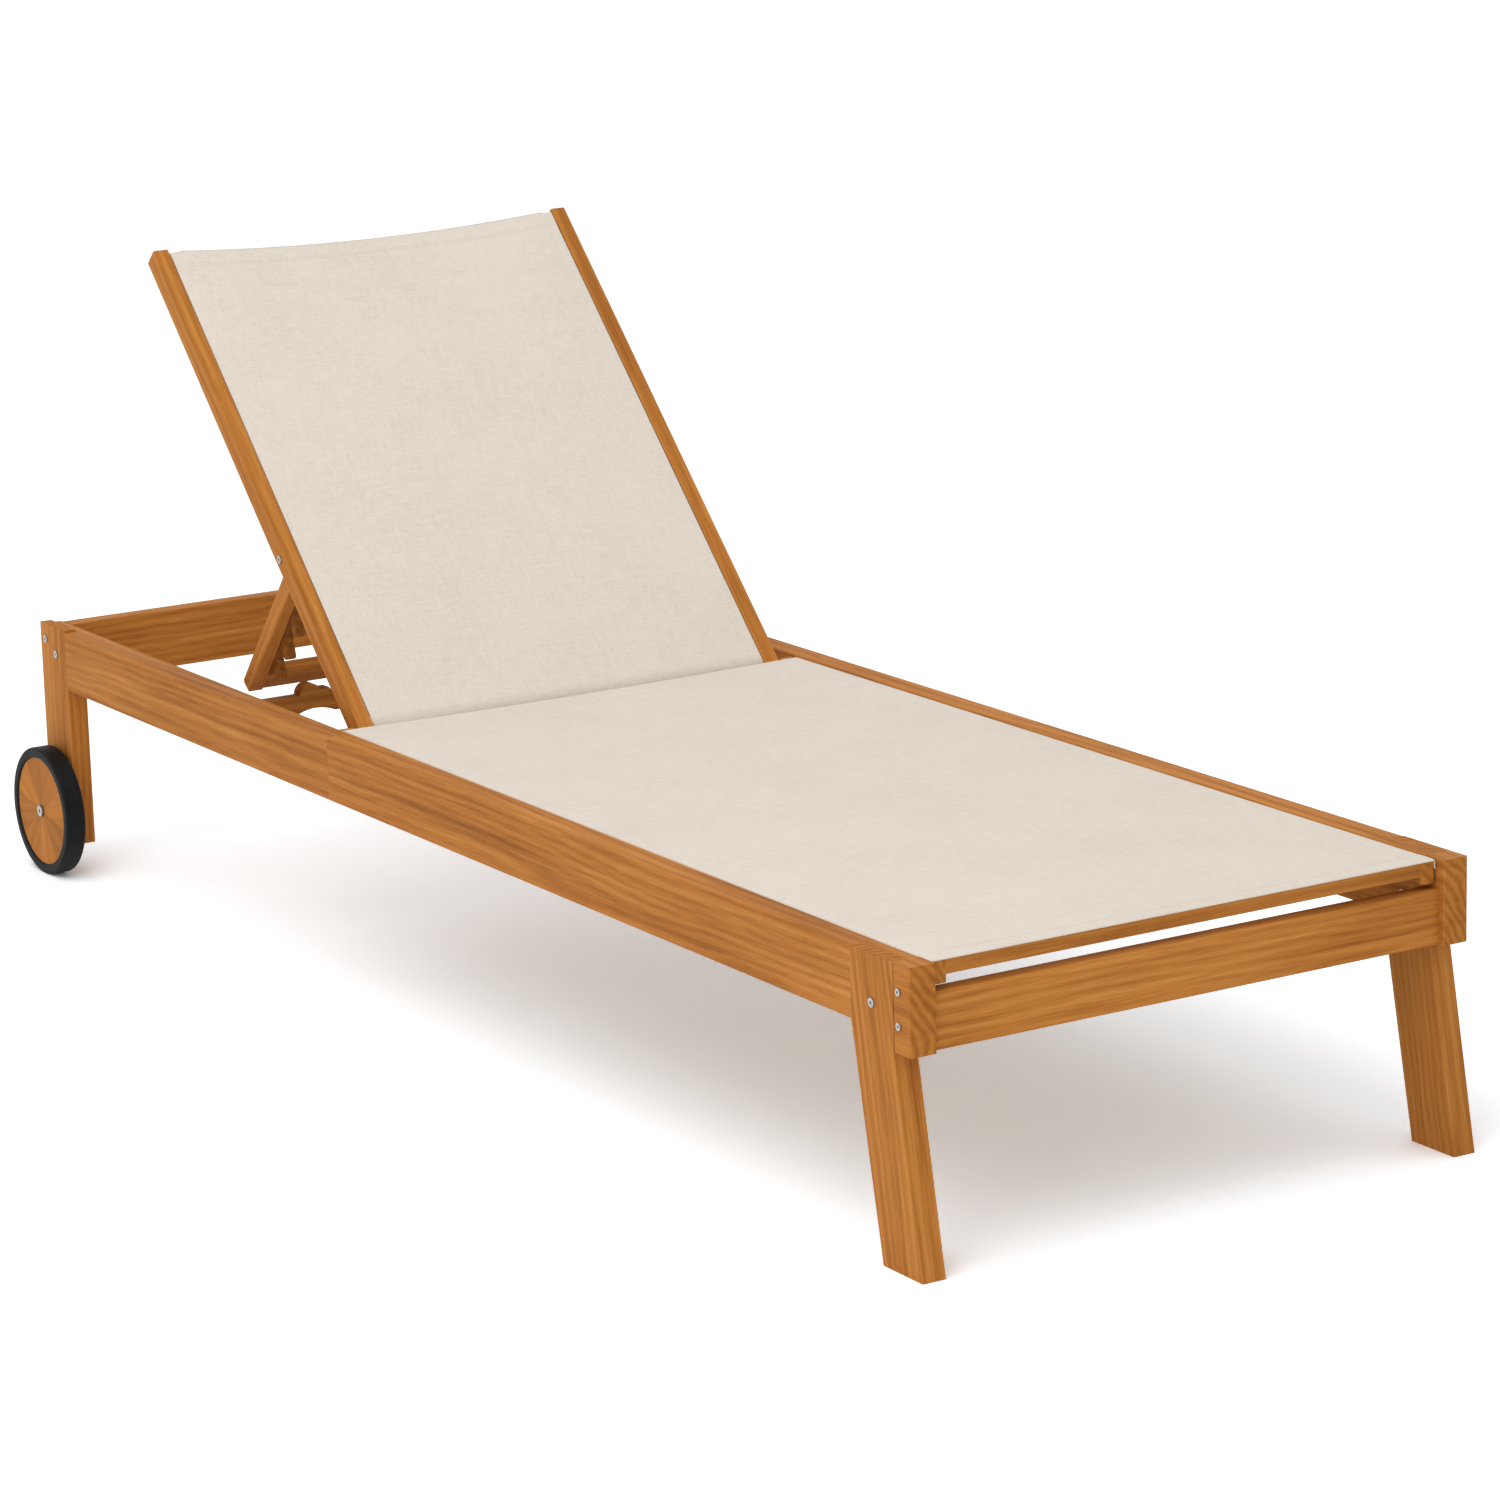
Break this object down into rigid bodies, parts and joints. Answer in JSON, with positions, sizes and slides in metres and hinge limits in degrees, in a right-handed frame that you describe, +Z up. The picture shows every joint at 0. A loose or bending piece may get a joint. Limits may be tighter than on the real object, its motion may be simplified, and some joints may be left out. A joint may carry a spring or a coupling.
{
  "type": "sun lounger",
  "caption": "Hardwood sun lounger with a fabric sling seat, a sling backrest that reclines on a toothed folding prop, splayed front feet and wooden wheels with rubber tyres at the head end.",
  "frame": {"origin": "on the floor, under the middle of the whole lounger", "axes": "+X points to the foot end, -Y is the left side seen from the foot end, +Z up"},
  "size_m": [2.056, 0.757, 0.8196],
  "materials": {
    "wood": "oiled hardwood, straight warm grain",
    "dark_wood": "oiled hardwood in shade or end grain",
    "cloth": "plain-woven outdoor sling cloth, matte",
    "fixings": "stainless bolts and screws",
    "tyre_rubber": "matte black solid tyre",
    "nylon": "dark nylon bushes and spacers"
  },
  "bodies": {
    "base": {"side_rail_front_left": "wood", "side_rail_front_right": "wood", "side_rail_rear_left": "wood", "side_rail_rear_right": "wood", "rail_splice_left": "dark_wood", "rail_splice_right": "dark_wood", "splice_screws": "fixings", "corner_block_left": "wood", "corner_block_right": "wood", "corner_screws": "fixings", "corner_dowels": "dark_wood", "front_leg_left": "wood", "front_leg_right": "wood", "front_leg_bolts": "fixings", "rear_leg_left": "wood", "rear_leg_right": "wood", "rear_leg_bolts": "fixings", "front_crossbar": "wood", "rear_crossbar": "wood", "crossbar_screws": "fixings", "crossbar_dowels": "dark_wood", "catch_bar": "dark_wood", "catch_bar_dowels": "dark_wood", "seat_stile_left": "wood", "seat_stile_right": "wood", "stile_screws": "fixings", "stile_spacers": "nylon", "seat_stretcher_front": "wood", "seat_stretcher_middle": "wood", "seat_stretcher_rear": "wood", "seat_stretcher_dowels": "dark_wood", "seat_sling": "cloth", "hinge_bolts": "fixings", "hinge_washers": "fixings", "axle_bolt_left": "fixings", "axle_bolt_right": "fixings", "axle_spacers": "fixings", "axle_nuts": "fixings"},
    "backrest": {"back_stile_left": "wood", "back_stile_right": "wood", "back_stretcher_top": "wood", "back_stretcher_bottom": "wood", "back_stretcher_dowels": "dark_wood", "back_sling": "cloth", "prop_pivot_bolts": "fixings", "prop_washers": "fixings"},
    "prop": {"prop_leg_left": "wood", "prop_leg_right": "wood", "prop_crossbar": "wood", "prop_rack_left": "dark_wood", "prop_rack_right": "dark_wood", "prop_screws": "fixings"},
    "wheel_left": {"wheel_disc_left": "wood", "tyre_left": "tyre_rubber", "wheel_bush_left": "nylon"},
    "wheel_right": {"wheel_disc_right": "wood", "tyre_right": "tyre_rubber", "wheel_bush_right": "nylon"}
  },
  "joints": [
    {"name": "back_recline", "type": "hinge", "parent": "base", "child": "backrest", "pos_m": [-0.225, 0, 0.302], "axis": [0, 1, 0], "range_deg": [-46, 0]},
    {"name": "prop_fold", "type": "hinge", "parent": "backrest", "child": "prop", "pos_m": [-0.40322, 0, 0.48439], "axis": [0, 1, 0], "range_deg": [0, 96.6]},
    {"name": "wheel_left_spin", "type": "hinge", "parent": "base", "child": "wheel_left", "pos_m": [-0.946, -0.3645, 0.082], "axis": [0, 1, 0], "continuous": true},
    {"name": "wheel_right_spin", "type": "hinge", "parent": "base", "child": "wheel_right", "pos_m": [-0.946, 0.3645, 0.082], "axis": [0, 1, 0], "continuous": true}
  ],
  "couplings": [
    {"joint": "prop_fold", "follows": "back_recline", "ratio": -2.1}
  ]
}
